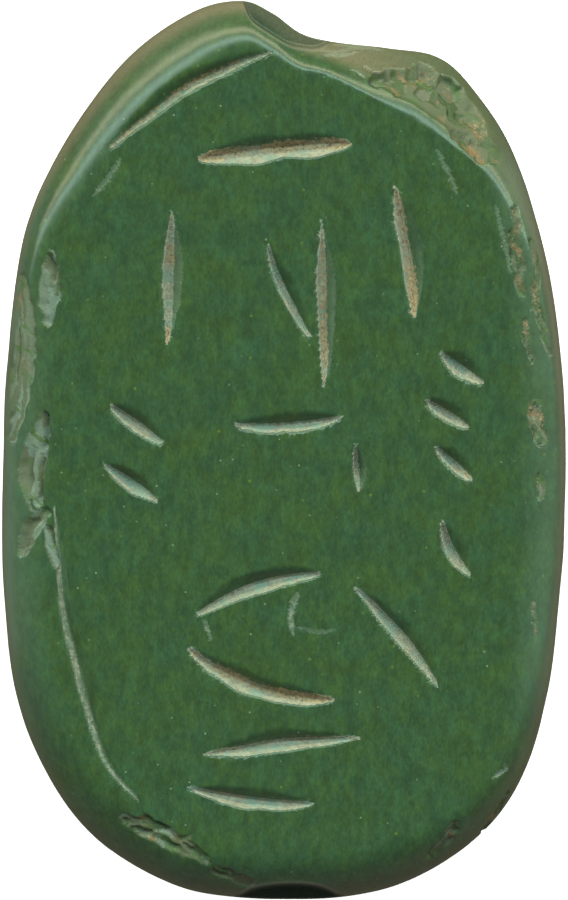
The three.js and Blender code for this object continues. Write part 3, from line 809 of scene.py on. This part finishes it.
def fine_mesh(form, grooves, chips):
    """Points and triangles of the smooth form, small where the stone will be carved."""
    sizes = form.sizes
    rim_edge, side_edge = 0.55 * sizes.plain_edge, 0.75 * sizes.plain_edge
    hidden_edge = 2.0 * sizes.fine_edge
    under_face, mouth_inset, mouth_width = 0.01, 0.6, 0.8 * sizes.bore_diameter
    end_share, past_groove, crossing, past_chip = 0.85, 1.15, 0.7, 0.03

    def too_long(middles, lengths):
        x, y, level = middles.T
        above_back = level > form.back_level
        above_widest = level > form.widest_level
        allowed = np.full(len(middles), sizes.plain_edge)
        allowed[above_widest & (level < form.height - 1e-4)] = rim_edge
        allowed[above_back & ~above_widest] = side_edge
        mouth = above_back & (level < form.height - under_face)
        mouth &= (np.abs(y) > end_share * form.half_length) & (np.abs(x - sizes.bore_offset) < mouth_width)
        allowed[mouth] = hidden_edge
        allowed[mouth & above_widest & (form.behind_outline(middles) < mouth_inset)] = sizes.fine_edge
        raised = form.raised(middles)
        for groove in grooves:
            places = raised if groove.on_face else middles
            near = groove.near(places, lengths / 2)
            distance, spread = groove.spread(places[near])[:2]
            edge = sizes.fine_edge if groove.on_face else hidden_edge
            hit = near[(spread < past_groove) | (distance < crossing * lengths[near])]
            allowed[hit] = np.minimum(allowed[hit], edge)
        for chip in chips:
            near = chip.near(middles, form.chip_floor)
            distance = nearest_on(chip.line, middles[near] * (1, 1, 0))[0]
            near = near[distance < 0.5 * chip.width + past_chip + 0.3 * lengths[near]]
            allowed[near] = np.minimum(allowed[near], sizes.fine_edge)
        return lengths > allowed

    directions, triangles = ball_of_directions(levels=6)
    busy = True
    while busy:
        points = form.surface(directions)
        directions, triangles, busy = split_long_edges(directions, triangles, points, too_long)
    return points, triangles


# Carving


def hollow_mouths(form, points):
    """Wears a hollow under the rim at each end of the stringing hole."""
    sizes = form.sizes
    level = form.height - sizes.bore_depth
    carved = points.copy()
    half_width, deep, half_height, soft = 1.1, 0.35, 1.0, 0.06
    end_share, rounding = 0.7, 0.25
    for end in (1, -1):
        inside = 1 - ((points[:, 0] - sizes.bore_offset) / half_width) ** 2
        inside -= ((points[:, 2] - level) / half_height) ** 2
        near = (inside > 0) & (points[:, 1] * end > end_share * form.half_length)
        outline = form.outline(np.arctan2(points[near, 1], points[near, 0]))
        gap = points[near, 1] * end - outline + deep * np.sqrt(inside[near])
        pulled = 0.5 * (gap + np.sqrt(gap * gap + soft * soft)) * inside[near] ** rounding
        carved[near, 1] -= end * pulled
    return carved


def wear_dishes(form, points, carved, masks):
    """Lowers the rim over the mouths of the stringing hole, and marks the pale lip, partly a worn edge and
    partly a painted highlight, and the dark grime, partly dirt and partly painted shade in the hollow.
    """
    behind = form.behind_outline(points)
    lip_width, lip_gap = 0.035, 0.01
    for end, depth, dark, edge in DISHES:
        x, reach = curve_through(edge, steps=6).T
        bite = np.interp(points[:, 0], x * form.half_width, reach.clip(0), left=0, right=0)
        near = (points[:, 1] * end > 0.8 * form.half_length) & (bite > 0.02)
        near &= points[:, 2] > form.widest_level
        inside = bite[near] - behind[near]
        level = carved[near, 2]
        carved[near, 2] = mix(level, np.minimum(level, form.height - depth), smooth(inside, 0, 0.09))
        # The pale lip along the bitten edge is partly a worn edge and partly a painted highlight
        away = (-inside - lip_gap) / lip_width
        masks["worn_lip_and_highlight"][near] = np.exp(-away * away) * smooth(bite[near], 0.03, 0.15)
        # Grime that is partly dirt and partly painted shade in the hollow
        masks["grime_and_shade"][near] = dark * smooth(inside, -0.05, 0.06)


def add_eyes(form, points):
    """The points with the two eyes raised on the head."""
    sizes = form.sizes
    before_neck, from_side = 0.75, 0.7
    y = form.neck + before_neck * sizes.eye_diameter
    carved = points.copy()
    for side in (-1, 1):
        x = side * (sizes.head_width / 2 - from_side * sizes.eye_diameter)
        out = np.hypot(points[:, 0] - x, points[:, 1] - y) / (sizes.eye_diameter / 2)
        near = (out < 1) & (points[:, 2] < form.back_level)
        carved[near, 2] -= sizes.eye_height * np.sqrt(1 - out[near] ** 2)
    return carved


def olive_and_sheen_share(form, points):
    """How much olive is laid on the stone at the points: most on the rim, towards the head. It is partly the
    rim's own tone and partly a painted warm sheen: it grows towards the head, on the lamps' side, starts
    nearer the face on the right rim as a painted sky sheen, and is cut back beside the chip at the top
    right.

    The places are in half widths and half lengths, and the levels in millimetres below the face.
    """
    below = form.height - points[:, 2]
    x, y = points[:, 0] / form.half_width, points[:, 1] / form.half_length
    to_right = smooth(x, -0.5, 0.8)
    on_rim = smooth(below, mix(0.22, 0.02, to_right), mix(0.75, 0.3, to_right))
    towards_head = mix(0.2, 1, smooth(y, -0.95, 0.6))
    beside_chip = smooth(x, 0.1, 0.6) * smooth(y, 0.3, 0.7)
    under_plate = smooth(below, form.sizes.rim_drop, form.sizes.plate_thickness)
    return on_rim * mix(towards_head * (1 - 0.6 * beside_chip), 0.2, under_plate)


def worn_share(form, points):
    """How strongly a painted bluish sheen lies over the polish at the points, along the two long sides of
    the rim.

    The places are in half widths and half lengths, and how far they lie behind the outline in millimetres.
    """
    x, y = points[:, 0] / form.half_width, points[:, 1] / form.half_length
    behind = form.behind_outline(points)
    beside_edge = 1 - smooth(behind, 0.3, 1.2)
    right = smooth(x, 0.6, 0.85) * smooth(y, -0.85, -0.4) * (1 - smooth(y, 0.6, 0.8))
    left = smooth(-x, 0.6, 0.85) * smooth(y, -0.8, -0.3) * (1 - smooth(y, 0.2, 0.45))
    left_edge = smooth(-x, 0.75, 0.9) * smooth(y, -0.8, -0.3) * (1 - smooth(behind, 0.1, 0.35))
    above = smooth(points[:, 2], form.height - 1.3 * form.sizes.rim_drop, form.widest_level)
    patchy = 0.85 + 0.4 * lumps(points, 0.9, 71)
    return above * patchy * ((right + 0.7 * left) * beside_edge + left_edge)


def towards_middle(points):
    """Unit vectors from the points towards a line along the middle of the seal."""
    level, along_share = 3.6, 0.55
    middle = np.zeros_like(points)
    middle[:, 1] = along_share * points[:, 1]
    middle[:, 2] = level
    towards = middle - points
    return towards / np.linalg.norm(towards, axis=1)[:, None]


def keep_most(values, near, others):
    """Raises the values near something to the others, where those are higher."""
    values[near] = np.maximum(values[near], others)


def carve(form, points, grooves, chips):
    """The carved points, and what the finish needs to know at each of them."""
    count = len(points)
    down = np.zeros(count)
    inward = np.zeros(count)
    masks = {name: np.zeros(count) for name in ("bare", "dirt", "chip", "tone", "worn_lip_and_highlight", "grime_and_shade")}
    unsteady = 0.035
    wander = np.stack([lumps(points, 0.9, 31), lumps(points, 0.9, 32), np.zeros(count)], axis=1)
    hand_cut = form.raised(points) + unsteady * wander
    for groove in grooves:
        places = hand_cut if groove.on_face else points
        near = groove.near(places)
        depth, bare, dirt = groove.section(places[near])
        keep_most(down if groove.on_face else inward, near, groove.depth * depth)
        keep_most(masks["bare"], near, bare)
        keep_most(masks["dirt"], near, dirt)
    for chip in chips:
        near = chip.near(points, form.chip_floor)
        depth, tone = chip.broken(points[near])
        broken = smooth(depth, 0.0, 0.02)
        patchy = 0.8 + 0.6 * lumps(points[near], 0.3, chip.seed)
        keep_most(inward, near, depth)
        keep_most(masks["chip"], near, broken)
        keep_most(masks["dirt"], near, chip.dirt * broken * patchy)
        masks["tone"][near] = np.where(broken > 0, tone, masks["tone"][near])
    broad_wear, fine_wear, resting_level = 0.012, 0.004, 0.05
    worn = broad_wear * (1 + lumps(points, 1.1, 41)) + fine_wear * (1 + lumps(points, 0.4, 42))
    worn *= points[:, 2] > resting_level
    face = smooth(points[:, 2], form.height - 0.25, form.height - 0.02)
    face_wear = 0.3
    carved = points + towards_middle(points) * (inward + worn * (1 - face))[:, None]
    carved[:, 2] -= down + face_wear * worn * face
    carved = hollow_mouths(form, carved)
    wear_dishes(form, points, carved, masks)
    # Olive on the rim, partly its own tone and partly a painted warm sheen towards the head and on the right
    # rim
    masks["side"] = olive_and_sheen_share(form, points)
    # A painted bluish sheen on the long sides of the rim, unlike the real wear above that rounds the stone
    masks["worn"] = worn_share(form, points)
    return add_eyes(form, carved), masks


def bore_tool(form):
    """A long cylinder for the stringing hole, with faint rings left by the drill."""
    sizes = form.sizes
    sides, rings, ring_depth = 48, 44, 0.012
    reach = form.half_length + sizes.bore_diameter
    turn = np.arange(sides) / sides * TURN
    along = np.linspace(-reach, reach, rings)
    random = np.random.default_rng(5)
    radius = sizes.bore_diameter / 2 * (1 - ring_depth * random.uniform(0, 1, rings))
    points = np.zeros((rings, sides, 3))
    points[:, :, 0] = sizes.bore_offset + radius[:, None] * np.cos(turn)
    points[:, :, 1] = along[:, None]
    points[:, :, 2] = form.height - sizes.bore_depth + radius[:, None] * np.sin(turn)
    index = np.arange(rings * sides).reshape(rings, sides)
    beside = np.roll(index, -1, axis=1)
    quads = np.stack([index[:-1], index[1:], beside[1:], beside[:-1]], axis=-1).reshape(-1, 4)
    faces = quads.tolist() + [index[0].tolist(), index[-1][::-1].tolist()]
    mesh = bpy.data.meshes.new("bore")
    mesh.from_pydata((points.reshape(-1, 3) * MM).tolist(), [], faces)
    return bpy.data.objects.new("bore", mesh)


def write_masks(mesh, masks, source_points):
    """Gives every vertex the masks of the carved point that it came from; the hole's wall gets its own."""
    tree = KDTree(len(source_points))
    for i, point in enumerate(source_points):
        tree.insert(point, i)
    tree.balance()
    found = np.array([tree.find(v.co)[1:] for v in mesh.vertices])
    nearest = found[:, 0].astype(int)
    touching = 1e-6
    in_bore = found[:, 1] > touching
    for name, values in masks.items():
        picked = values[nearest]
        # The hole's wall is all grime, partly painted shade inside the hole
        if name == "grime_and_shade":
            picked = np.where(in_bore, 1.0, picked)
        attribute = mesh.attributes.new(name, "FLOAT", "POINT")
        attribute.data.foreach_set("value", picked.astype(np.float32))


def carved_seal(sizes):
    """The seal as one fine mesh object."""
    low, high = (np.array(corner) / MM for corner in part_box(NODE))
    half_width, half_length = (high - low)[:2] / 2
    form = SealForm(sizes, half_width, half_length, high[2])
    grooves = face_grooves(form) + back_grooves(form) + leg_grooves(form)
    chips = rim_chips(form)
    points, triangles = fine_mesh(form, grooves, chips)
    carved, masks = carve(form, points, grooves, chips)
    middle = (carved.max(axis=0) + carved.min(axis=0)) / 2
    carved[:, :2] += ((low + high) / 2 - middle)[:2]
    carved = np.clip(carved, low, high) * MM
    mesh = bpy.data.meshes.new("carved_seal")
    mesh.from_pydata(carved.tolist(), [], triangles.tolist())
    seal = bpy.data.objects.new("carved_seal", mesh)
    bpy.context.scene.collection.objects.link(seal)
    tool = bore_tool(form)
    bpy.context.scene.collection.objects.link(tool)
    cut = seal.modifiers.new("stringing hole", "BOOLEAN")
    cut.operation = "DIFFERENCE"
    cut.object = tool
    cut.solver = "MANIFOLD"
    made = bpy.data.meshes.new_from_object(seal.evaluated_get(bpy.context.evaluated_depsgraph_get()))
    seal.modifiers.clear()
    seal.data = made
    made.name = "carved_seal"
    bpy.data.objects.remove(tool)
    write_masks(made, masks, carved)
    made.shade_smooth()
    return seal


# Finish


class Nodes:
    """A short way to add and join shader nodes."""

    def __init__(self, tree):
        self.tree = tree
        tree.nodes.clear()

    def add(self, kind, inputs=None, **settings):
        node = self.tree.nodes.new(kind)
        for name, value in settings.items():
            setattr(node, name, value)
        for name, value in (inputs or {}).items():
            socket = node.inputs[name]
            if isinstance(value, bpy.types.NodeSocket):
                self.tree.links.new(value, socket)
            else:
                socket.default_value = value
        return node

    def noise(self, vector, scale, detail=2.0, roughness=0.5):
        inputs = {"Vector": vector, "Scale": scale, "Detail": detail, "Roughness": roughness}
        return self.add("ShaderNodeTexNoise", inputs).outputs["Fac"]

    def math(self, operation, *values):
        return self.add("ShaderNodeMath", dict(enumerate(values)), operation=operation).outputs[0]

    def between(self, value, low, high):
        """0 where the value is at low or past it and 1 at high or past it; low may be the larger one."""
        inputs = {"Value": value, "From Min": low, "From Max": high}
        return self.add("ShaderNodeMapRange", inputs, interpolation_type="SMOOTHSTEP").outputs["Result"]

    def mix_colour(self, amount, a, b, blend="MIX"):
        inputs = {0: amount, 6: a, 7: b}
        return self.add("ShaderNodeMix", inputs, data_type="RGBA", blend_type=blend).outputs[2]

    def mix_value(self, amount, a, b):
        return self.add("ShaderNodeMix", {0: amount, 2: a, 3: b}, data_type="FLOAT").outputs[0]

    def over(self, under, colour, mask, strength):
        """The colour laid over the one under it where the mask is 1, as strongly as given."""
        return self.mix_colour(self.math("MULTIPLY", mask, strength), under, colour)

    def mask(self, name):
        return self.add("ShaderNodeAttribute", attribute_name=name).outputs["Fac"]

    def surface(self, kind, inputs, output="ShaderNodeOutputMaterial"):
        """Ends the tree with a shader of that kind."""
        self.add(output, {"Surface": self.add(kind, inputs).outputs[0]})


def rgba(rgb, strength=1.0):
    """The colour made that much stronger, with the fourth number that sockets need."""
    return (*(strength * c for c in rgb), 1.0)


def mottled_stone(n, place, colours):
    """The polished stone: bluer and yellower patches, clouds, an olive rim that is partly a painted warm
    sheen, and tiny specks.
    """
    stretched = n.add("ShaderNodeMapping", {"Vector": place, "Scale": (1.0, 0.5, 1.0)}).outputs[0]
    broad = n.noise(place, 1.3, 4.0, 0.65)
    patches = n.math("MULTIPLY_ADD", n.noise(stretched, 11.0, 3.0, 0.6), 0.7, broad)
    stone = n.mix_colour(n.between(patches, 0.5, 1.2), rgba(colours.teal), rgba(colours.leaf))
    for scale, contrast in ((3.5, 0.12), (9.0, 0.16), (20.0, 0.13)):
        cloud = n.between(n.noise(stretched, scale, 3.0, 0.6), 0.3, 0.7)
        shade = n.mix_colour(cloud, (1 - contrast,) * 3 + (1,), (1 + contrast,) * 3 + (1,))
        stone = n.mix_colour(1.0, stone, shade, "MULTIPLY")
    # The olive is partly the rim's tone and partly a painted warm sheen; it is kept off the grime
    olive_and_sheen = n.mix_colour(cloud, rgba(colours.olive_and_sheen, 0.8), rgba(colours.olive_and_sheen, 1.05))
    clean = n.math("SUBTRACT", 1.0, n.mask("grime_and_shade"))
    stone = n.over(stone, olive_and_sheen, n.mask("side"), clean)
    for scale, size, tint in ((3.2, 0.085, colours.speck), (1.7, 0.07, colours.moss)):
        cells = n.add("ShaderNodeTexVoronoi", {"Vector": place, "Scale": scale})
        strength = n.add("ShaderNodeSeparateColor", {0: cells.outputs["Color"]}).outputs[0]
        speck = n.between(cells.outputs["Distance"], size, 0.5 * size)
        stone = n.over(stone, rgba(tint), speck, strength)
    return stone


def chip_facets(n, place, colours):
    """The broken stone: dark green to frosty from facet to facet, with amber stains and dark streaks."""
    along_chip = {"Vector": place, "Rotation": (0, 0, math.radians(-42)), "Scale": (3.0, 0.7, 1.0)}
    streaky = n.add("ShaderNodeMapping", along_chip, vector_type="TEXTURE").outputs[0]
    streaks = n.noise(streaky, 4.0, 4.0, 0.65)
    tone = n.mask("tone")
    facet = n.mix_colour(n.between(tone, 0.1, 0.4), rgba(colours.leaf, 0.9), rgba(colours.broken))
    facet = n.mix_colour(n.between(tone, 0.5, 0.9), facet, rgba(colours.frost_and_sheen, 0.8))
    dirty = n.between(n.mask("dirt"), 0.18, 0.38)
    facet = n.over(facet, rgba(colours.amber, 0.8), n.between(streaks, 0.52, 0.64), dirty)
    return n.mix_colour(n.between(streaks, 0.45, 0.36), facet, rgba(colours.leaf, 1.5))


def crumbs_of_dirt(n, place, colours):
    """Where the dirt lies, in crumbs, and its colour: tan grains, some of them rusty."""
    dirty = n.mask("dirt")
    crumbs = n.math("SUBTRACT", n.noise(place, 11.0, 4.0, 0.7), 0.5)
    dirt = n.between(n.math("MULTIPLY_ADD", crumbs, 1.8, dirty), 0.45, 0.8)
    dirt = n.math("MULTIPLY", dirt, n.between(dirty, 0.05, 0.3))
    grains = n.noise(place, 15.0, 3.0, 0.65)
    soil = n.mix_colour(n.between(grains, 0.48, 0.62), rgba(colours.tan), rgba(colours.tan, 1.45))
    return dirt, n.mix_colour(n.between(grains, 0.44, 0.34), soil, rgba(colours.rust))


def green_stone(colours):
    """Polished mottled green stone, matt and pale where it is cut, with dirt left in the cuts, a painted
    sheen on the rim, a painted highlight on the dished lips and painted shade in the hole.
    """
    material = bpy.data.materials.new("green stone")
    material.use_nodes = True
    n = Nodes(material.node_tree)
    place = n.add("ShaderNodeTexCoord").outputs["Object"]
    place = n.add("ShaderNodeVectorMath", {0: place, 1: (1 / MM,) * 3}, operation="MULTIPLY").outputs[0]
    bare, chip, grime_and_shade = n.mask("bare"), n.mask("chip"), n.mask("grime_and_shade")

    stone = mottled_stone(n, place, colours)
    # A painted bluish sheen along the long sides of the rim
    stone = n.over(stone, rgba(colours.frost_and_sheen), n.mask("worn"), COVER["worn"])
    # At the edges of the strokes the frosted colour is partly cut stone and partly a painted highlight
    stone = n.over(stone, rgba(colours.frost_and_sheen), bare, COVER["bare"])
    fleck = n.noise(place, 9.0, 4.0, 0.7)
    floor = n.between(n.math("MULTIPLY_ADD", n.math("SUBTRACT", fleck, 0.5), 0.6, bare), 0.45, 0.75)
    frosty = n.between(n.noise(place, 3.0, 3.0, 0.6), 0.45, 0.65)
    cut = n.mix_colour(n.between(fleck, 0.35, 0.65), rgba(colours.cut, 0.75), rgba(colours.cut, 1.15))
    finish = n.mix_colour(floor, stone, n.mix_colour(frosty, cut, rgba(colours.frost_and_sheen)))
    finish = n.over(finish, chip_facets(n, place, colours), chip, COVER["chip"])
    dirt, soil = crumbs_of_dirt(n, place, colours)
    finish = n.over(finish, soil, dirt, COVER["dirt"])
    # A pale lip that is partly a painted highlight
    finish = n.over(finish, rgba(colours.cut, 0.8), n.mask("worn_lip_and_highlight"), COVER["worn_lip_and_highlight"])
    # Grime that is partly painted shade in the hole and the dished mouths
    finish = n.over(finish, rgba(colours.grime_and_shade), grime_and_shade, COVER["grime_and_shade"])

    matt = floor
    chip_matt, groove_matt = 0.7, 2.0
    for mask in (n.math("MULTIPLY", chip, chip_matt), dirt, n.math("MULTIPLY", bare, groove_matt), grime_and_shade):
        matt = n.math("MAXIMUM", matt, mask)
    roughness = n.mix_value(matt, colours.polish, colours.matt)
    grit = n.math("MULTIPLY", n.noise(place, 14.0, 4.0, 0.7), matt)
    ripple, grain_height = 0.06, 0.03 * MM
    height = n.math("MULTIPLY_ADD", n.noise(place, 6.0, 3.0, 0.6), ripple, grit)
    bump = n.add("ShaderNodeBump", {"Height": height, "Strength": 0.6, "Distance": grain_height}).outputs[0]
    inputs = {"Base Color": finish, "Roughness": roughness, "Normal": bump}
    n.surface("ShaderNodeBsdfPrincipled", inputs)
    return material


# Stage


def floor_material(glow):
    """A pale matt ground that shines a little by itself, so that it stays even."""
    material = bpy.data.materials.new("pale floor")
    material.use_nodes = True
    n = Nodes(material.node_tree)
    inputs = {
        "Base Color": (0.88, 0.88, 0.88, 1),
        "Roughness": 0.9,
        "Specular IOR Level": 0.1,
        "Emission Color": (1, 1, 1, 1),
        "Emission Strength": glow,
    }
    n.surface("ShaderNodeBsdfPrincipled", inputs)
    return material


def lay_floor(glow):
    """A flat square under the seal, which neither mirrors in it nor lights it."""
    half = 2.0
    mesh = bpy.data.meshes.new("floor")
    corners = [(-half, -half, 0), (half, -half, 0), (half, half, 0), (-half, half, 0)]
    mesh.from_pydata(corners, [], [(0, 1, 2, 3)])
    mesh.materials.append(floor_material(glow))
    floor = bpy.data.objects.new("floor", mesh)
    bpy.context.scene.collection.objects.link(floor)
    floor.visible_glossy = False
    floor.visible_diffuse = False


def hang_strip(name, angle, tint, power):
    """A long lamp that runs across the view, on the head's side, turned from straight up by the angle."""
    away = 1.2
    data = bpy.data.lights.new(name, "AREA")
    data.shape = "RECTANGLE"
    data.size = 5.0
    data.size_y = 0.26
    data.energy = power
    data.color = tint
    lamp = bpy.data.objects.new(name, data)
    lamp.location = (0, away * math.sin(angle), away * math.cos(angle))
    lamp.rotation_euler = (-angle, 0, 0)
    lamp.visible_camera = False
    bpy.context.scene.collection.objects.link(lamp)


def light_the_room(strength):
    """A plain room: dim above, paler round the horizon and warm below."""
    world = bpy.data.worlds.new("room")
    world.use_nodes = True
    n = Nodes(world.node_tree)
    direction = n.add("ShaderNodeTexCoord").outputs["Generated"]
    up = n.add("ShaderNodeSeparateXYZ", {0: direction}).outputs["Z"]
    ramp = n.add("ShaderNodeValToRGB", {"Fac": n.math("MULTIPLY_ADD", up, 0.5, 0.5)})
    stops = ramp.color_ramp.elements
    stops[0].position, stops[0].color = 0.0, (0.32, 0.25, 0.17, 1)
    stops[1].position, stops[1].color = 1.0, (0.45, 0.5, 0.55, 1)
    horizon = stops.new(0.5)
    horizon.color = (1.0, 0.97, 0.9, 1)
    inputs = {"Color": ramp.outputs[0], "Strength": strength}
    n.surface("ShaderNodeBackground", inputs, "ShaderNodeOutputWorld")
    bpy.context.scene.world = world


def place_camera(lens):
    """Looks straight down on the face, with the head at the top, so that the outline fills the height."""
    low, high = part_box(NODE)
    frame_pixels = 900
    outline_pixels = 898
    view_height = (high.y - low.y) * frame_pixels / outline_pixels
    data = bpy.data.cameras.new("camera")
    data.lens = lens
    data.clip_start = 0.01
    data.clip_end = 20
    camera = bpy.data.objects.new("camera", data)
    middle = (low + high) / 2
    widest_level = high.z - in_millimetres(bpy.context.scene.scarab_seal_sizes).rim_drop * MM
    camera.location = (middle.x, middle.y, widest_level + view_height * lens / data.sensor_width)
    bpy.context.scene.collection.objects.link(camera)
    bpy.context.scene.camera = camera


# Add-on


class CarveSeal(bpy.types.Operator):
    """Carves the seal from one green stone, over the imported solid"""

    bl_idname = "scarab_seal.carve"
    bl_label = "Carve the seal"

    def execute(self, context):
        scene = context.scene
        seal = carved_seal(in_millimetres(scene.scarab_seal_sizes))
        seal.data.materials.clear()
        seal.data.materials.append(green_stone(scene.scarab_seal_colours))
        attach(seal, "root")
        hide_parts(NODE)
        return {"FINISHED"}


class SetStage(bpy.types.Operator):
    """Lays the pale floor, hangs the lights and places the camera"""

    bl_idname = "scarab_seal.set_stage"
    bl_label = "Set the stage"

    def execute(self, context):
        stage = context.scene.scarab_seal_stage
        lay_floor(stage.floor_glow)
        hang_strip("cool strip", stage.cool_angle, stage.cool_tint, stage.cool_power)
        hang_strip("warm strip", stage.warm_angle, stage.warm_tint, stage.warm_power)
        light_the_room(stage.sky)
        place_camera(stage.lens)
        context.scene.view_settings.view_transform = "Standard"
        return {"FINISHED"}


class ScarabSealPanel(bpy.types.Panel):
    """Lists the seal's steps and settings"""

    bl_idname = "VIEW3D_PT_scarab_seal"
    bl_label = "Scarab seal"
    bl_space_type = "VIEW_3D"
    bl_region_type = "UI"
    bl_category = "Scarab seal"

    def draw(self, context):
        for operator in OPERATORS:
            self.layout.operator(operator.bl_idname)
        for name in SETTINGS:
            settings = getattr(context.scene, name)
            box = self.layout.box()
            for prop in settings.bl_rna.properties:
                if prop.identifier not in ("rna_type", "name"):
                    box.prop(settings, prop.identifier)


SETTINGS = {
    "scarab_seal_sizes": SealSizes,
    "scarab_seal_colours": StoneColours,
    "scarab_seal_stage": StageSettings,
}
OPERATORS = (CarveSeal, SetStage)


def register():
    for name, group in SETTINGS.items():
        bpy.utils.register_class(group)
        setattr(bpy.types.Scene, name, PointerProperty(type=group))
    for item in (*OPERATORS, ScarabSealPanel):
        bpy.utils.register_class(item)


def unregister():
    for item in (ScarabSealPanel, *reversed(OPERATORS)):
        bpy.utils.unregister_class(item)
    for name, group in reversed(SETTINGS.items()):
        delattr(bpy.types.Scene, name)
        bpy.utils.unregister_class(group)


def main():
    register()
    bpy.ops.scarab_seal.carve()
    bpy.ops.scarab_seal.set_stage()


if __name__ == "__main__":
    main()
